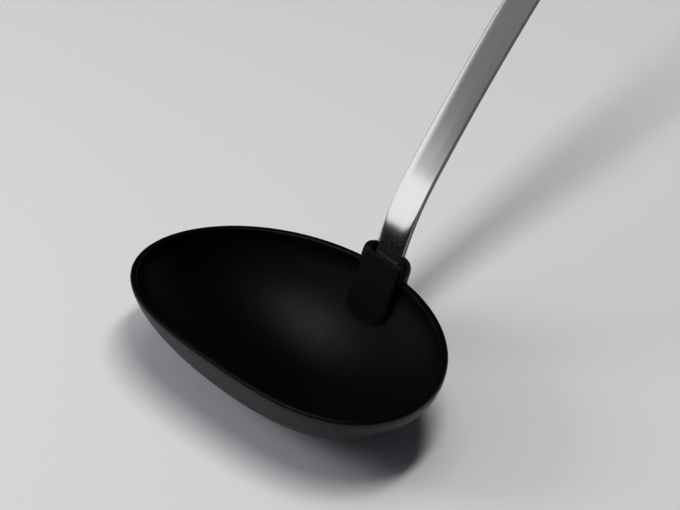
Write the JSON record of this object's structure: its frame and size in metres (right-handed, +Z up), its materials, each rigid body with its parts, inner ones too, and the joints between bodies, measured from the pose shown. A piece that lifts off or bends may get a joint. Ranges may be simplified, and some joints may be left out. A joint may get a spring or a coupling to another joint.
{
  "type": "sauce ladle",
  "caption": "Sauce ladle with a wide black nylon bowl that has two pouring corners, on a bent strip handle of brushed stainless steel with a hanging slot.",
  "frame": {"origin": "middle of the small flat under the bowl", "axes": "+X across the bowl between the pouring corners, +Y from the front edge towards the handle, +Z up out of the bowl"},
  "size_m": [0.1098, 0.2189, 0.1917],
  "materials": {
    "nylon": "fine moulded grain, matte black",
    "stainless": "brushed lengthwise, with soft crowned edges"
  },
  "bodies": {
    "root": {"bowl": "nylon", "handle": "stainless"}
  },
  "joints": []
}
